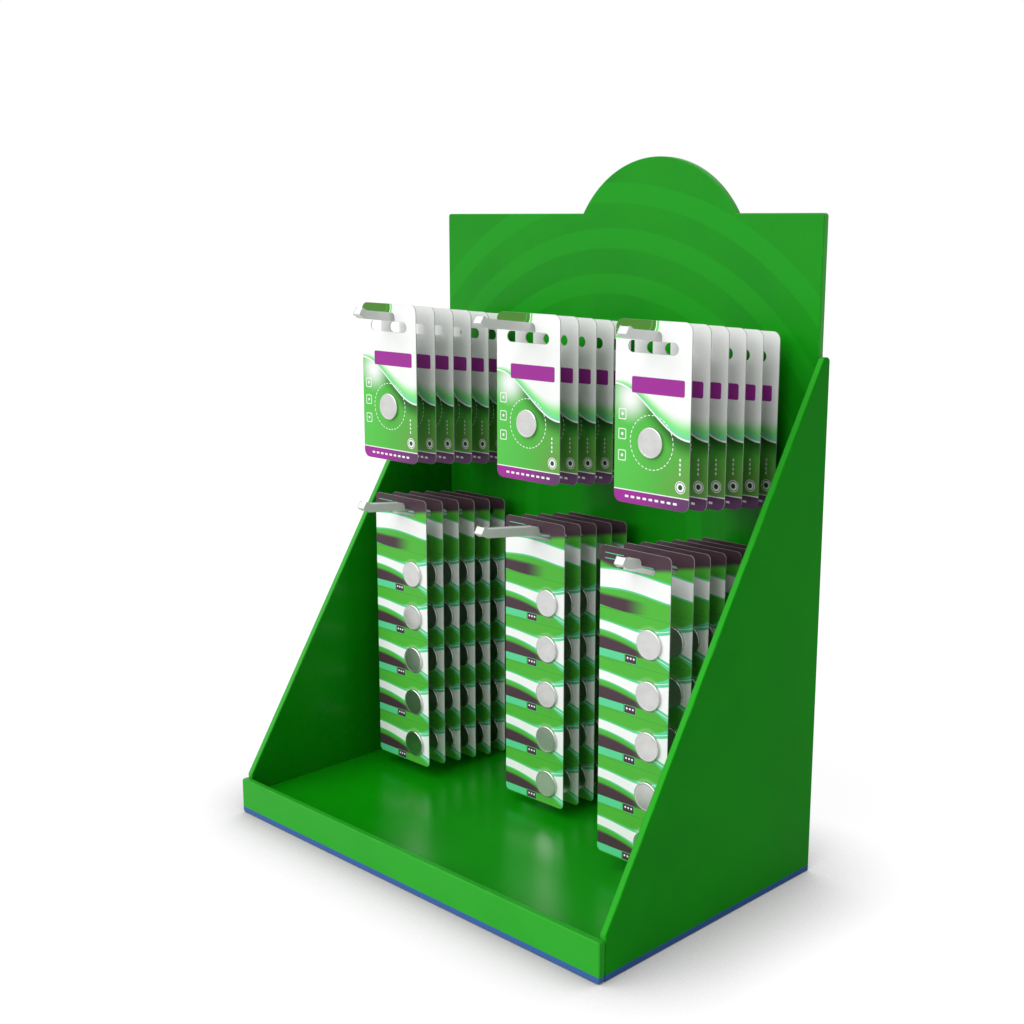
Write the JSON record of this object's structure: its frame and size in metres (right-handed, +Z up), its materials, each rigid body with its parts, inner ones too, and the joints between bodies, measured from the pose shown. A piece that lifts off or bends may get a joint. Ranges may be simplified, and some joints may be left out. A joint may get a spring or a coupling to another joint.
{
  "type": "counter display box",
  "caption": "Rigid-board counter display with sloping sides, a low front lip and an arched header, holding blister cards and strips of coin cells on rising hooks.",
  "frame": {"origin": "on the counter, under the middle of the whole object's box", "axes": "+Z up, the front lip towards -Y, +X to the right seen from the front"},
  "size_m": [0.37, 0.225, 0.4952],
  "materials": {
    "green_board": "satin film-laminated print, bright green",
    "blue_board": "matt print, mid blue",
    "hook_plastic": "satin moulded, white",
    "cell_card": "satin coated print, white, green and purple",
    "cell_strip": "satin coated print, green, white and dark plum"
  },
  "bodies": {
    "root": {"front_lip": "green_board", "left_side_panel": "green_board", "right_side_panel": "green_board", "back_panel": "green_board", "deck_panel": "green_board", "base_panel": "blue_board", "hook_top_left": "hook_plastic", "hook_top_middle": "hook_plastic", "hook_top_right": "hook_plastic", "hook_low_left": "hook_plastic", "hook_low_middle": "hook_plastic", "hook_low_right": "hook_plastic", "card_top_left_1": "cell_card", "card_top_left_2": "cell_card", "card_top_left_3": "cell_card", "card_top_left_4": "cell_card", "card_top_left_5": "cell_card", "card_top_left_6": "cell_card", "card_top_middle_1": "cell_card", "card_top_middle_2": "cell_card", "card_top_middle_3": "cell_card", "card_top_middle_4": "cell_card", "card_top_middle_5": "cell_card", "card_top_right_1": "cell_card", "card_top_right_2": "cell_card", "card_top_right_3": "cell_card", "card_top_right_4": "cell_card", "card_top_right_5": "cell_card", "card_top_right_6": "cell_card", "strip_low_left_1": "cell_strip", "strip_low_left_2": "cell_strip", "strip_low_left_3": "cell_strip", "strip_low_left_4": "cell_strip", "strip_low_left_5": "cell_strip", "strip_low_left_6": "cell_strip", "strip_low_middle_1": "cell_strip", "strip_low_middle_2": "cell_strip", "strip_low_middle_3": "cell_strip", "strip_low_middle_4": "cell_strip", "strip_low_middle_5": "cell_strip", "strip_low_right_1": "cell_strip", "strip_low_right_2": "cell_strip", "strip_low_right_3": "cell_strip", "strip_low_right_4": "cell_strip", "strip_low_right_5": "cell_strip", "strip_low_right_6": "cell_strip", "strip_low_right_7": "cell_strip"}
  },
  "joints": []
}
